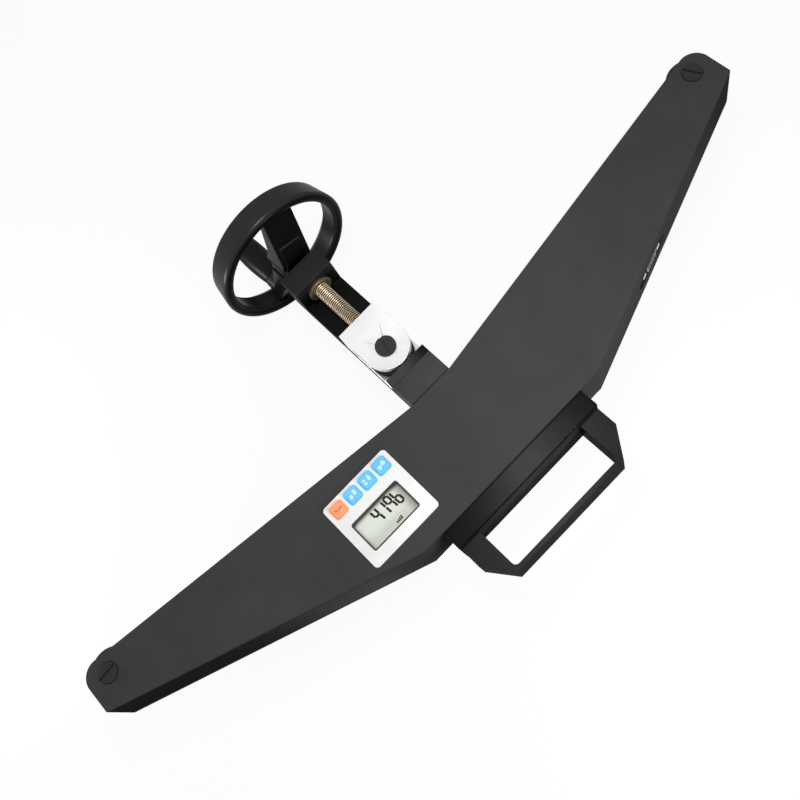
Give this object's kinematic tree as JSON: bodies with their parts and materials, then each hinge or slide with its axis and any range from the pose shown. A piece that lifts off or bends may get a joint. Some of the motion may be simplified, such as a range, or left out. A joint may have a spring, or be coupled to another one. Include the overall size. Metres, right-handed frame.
{
  "type": "cable tension meter",
  "caption": "Wide V shaped rope tension meter with end rollers, a screw clamp with handwheel, a display panel and a carrying handle.",
  "frame": {"origin": "midway between the two end roller axles, at the body's mid thickness", "axes": "+X from the left end roller to the right one, +Y along the clamp screw to the handwheel, +Z out of the display face"},
  "size_m": [0.638, 0.3766, 0.121],
  "materials": {
    "frame_black": "satin black anodised aluminium",
    "cover_grey": "satin dark grey painted aluminium",
    "clamp_black": "satin black blued steel",
    "pad_black": "matte black hardened steel",
    "screw_black": "black oxide",
    "fastener_steel": "zinc plated",
    "nut_brass": "turned",
    "screw_steel": "rolled thread, yellow zinc",
    "clevis_chrome": "polished plating",
    "roller_black": "hard black coating",
    "bush_bronze": "sintered bronze",
    "wheel_black": "black moulded plastic, satin",
    "grip_black": "black moulded plastic, glossy",
    "handle_grey": "satin dark grey",
    "bracket_grey": "brushed dark metal",
    "panel_white": "white film",
    "window_clear": "clear pane",
    "lcd_grey": "segment display",
    "board_green": "circuit board",
    "switch_black": "moulded",
    "key_orange": "soft orange",
    "key_blue": "soft blue",
    "cell_steel": "ground steel",
    "holder_black": "moulded",
    "battery_wrap": "printed sleeve without print",
    "port_steel": "tin plated steel",
    "contact_gold": "gold plated"
  },
  "bodies": {
    "body": {"main_frame": "frame_black", "front_cover": "cover_grey", "rear_cover": "cover_grey", "cover_screws": "screw_black", "left_axle": "screw_black", "right_axle": "screw_black", "axle_nuts": "fastener_steel", "clamp_frame": "clamp_black", "anvil_pad": "pad_black", "clamp_bolts": "screw_black", "screw_nut": "nut_brass", "handle_bracket": "bracket_grey", "bracket_screws": "screw_black", "handle": "handle_grey", "handle_screws": "screw_black", "display_panel": "panel_white", "display_window": "window_clear", "lcd_module": "lcd_grey", "main_board": "board_green", "key_switches": "switch_black", "load_cell": "cell_steel", "load_cell_bolts": "screw_black", "battery_holder": "holder_black", "battery_cells": "battery_wrap", "port_shell": "port_steel", "port_insulator": "holder_black", "port_pins": "contact_gold", "port_screws": "port_steel"},
    "left_pulley": {"left_roller": "roller_black", "left_bush": "bush_bronze"},
    "right_pulley": {"right_roller": "roller_black", "right_bush": "bush_bronze"},
    "carriage": {"clevis": "clevis_chrome", "clevis_pin": "screw_black", "thrust_washer": "bush_bronze"},
    "centre_pulley": {"centre_roller": "roller_black", "centre_bush": "bush_bronze"},
    "spindle": {"clamp_screw": "screw_steel", "retaining_collar": "fastener_steel", "handwheel": "wheel_black", "wheel_washer": "fastener_steel", "wheel_nut": "fastener_steel", "grip_stud": "fastener_steel"},
    "grip": {"revolving_grip": "grip_black"},
    "first_key": {"key_1": "key_orange"},
    "second_key": {"key_2": "key_blue"},
    "third_key": {"key_3": "key_blue"},
    "fourth_key": {"key_4": "key_blue"}
  },
  "joints": [
    {"name": "left_roller_spin", "type": "hinge", "parent": "body", "child": "left_pulley", "pos_m": [-0.3, 0, 0.004], "axis": [0, 0, 1], "continuous": true},
    {"name": "right_roller_spin", "type": "hinge", "parent": "body", "child": "right_pulley", "pos_m": [0.3, 0, 0.004], "axis": [0, 0, 1], "continuous": true},
    {"name": "clamp_slide", "type": "slide", "parent": "body", "child": "carriage", "axis": [0, 1, 0], "range_m": [-0.0018, 0.04]},
    {"name": "centre_roller_spin", "type": "hinge", "parent": "carriage", "child": "centre_pulley", "pos_m": [0, 0.0243, 0.004], "axis": [0, 0, 1], "continuous": true},
    {"name": "screw_turn", "type": "hinge", "parent": "carriage", "child": "spindle", "pos_m": [0, 0.0575, 0.004], "axis": [0, 1, 0], "range_deg": [-370, 8228]},
    {"name": "grip_spin", "type": "hinge", "parent": "spindle", "child": "grip", "pos_m": [-0.01389, 0.19, -0.04142], "axis": [0, 1, 0], "continuous": true},
    {"name": "key_1_press", "type": "slide", "parent": "body", "child": "first_key", "axis": [0, 0, -1], "range_m": [0, 0.0008], "stiffness_N_per_m": 800},
    {"name": "key_2_press", "type": "slide", "parent": "body", "child": "second_key", "axis": [0, 0, -1], "range_m": [0, 0.0008], "stiffness_N_per_m": 800},
    {"name": "key_3_press", "type": "slide", "parent": "body", "child": "third_key", "axis": [0, 0, -1], "range_m": [0, 0.0008], "stiffness_N_per_m": 800},
    {"name": "key_4_press", "type": "slide", "parent": "body", "child": "fourth_key", "axis": [0, 0, -1], "range_m": [0, 0.0008], "stiffness_N_per_m": 800}
  ],
  "couplings": [
    {"joint": "clamp_slide", "follows": "screw_turn", "m_per_rad": 0.00027852}
  ]
}
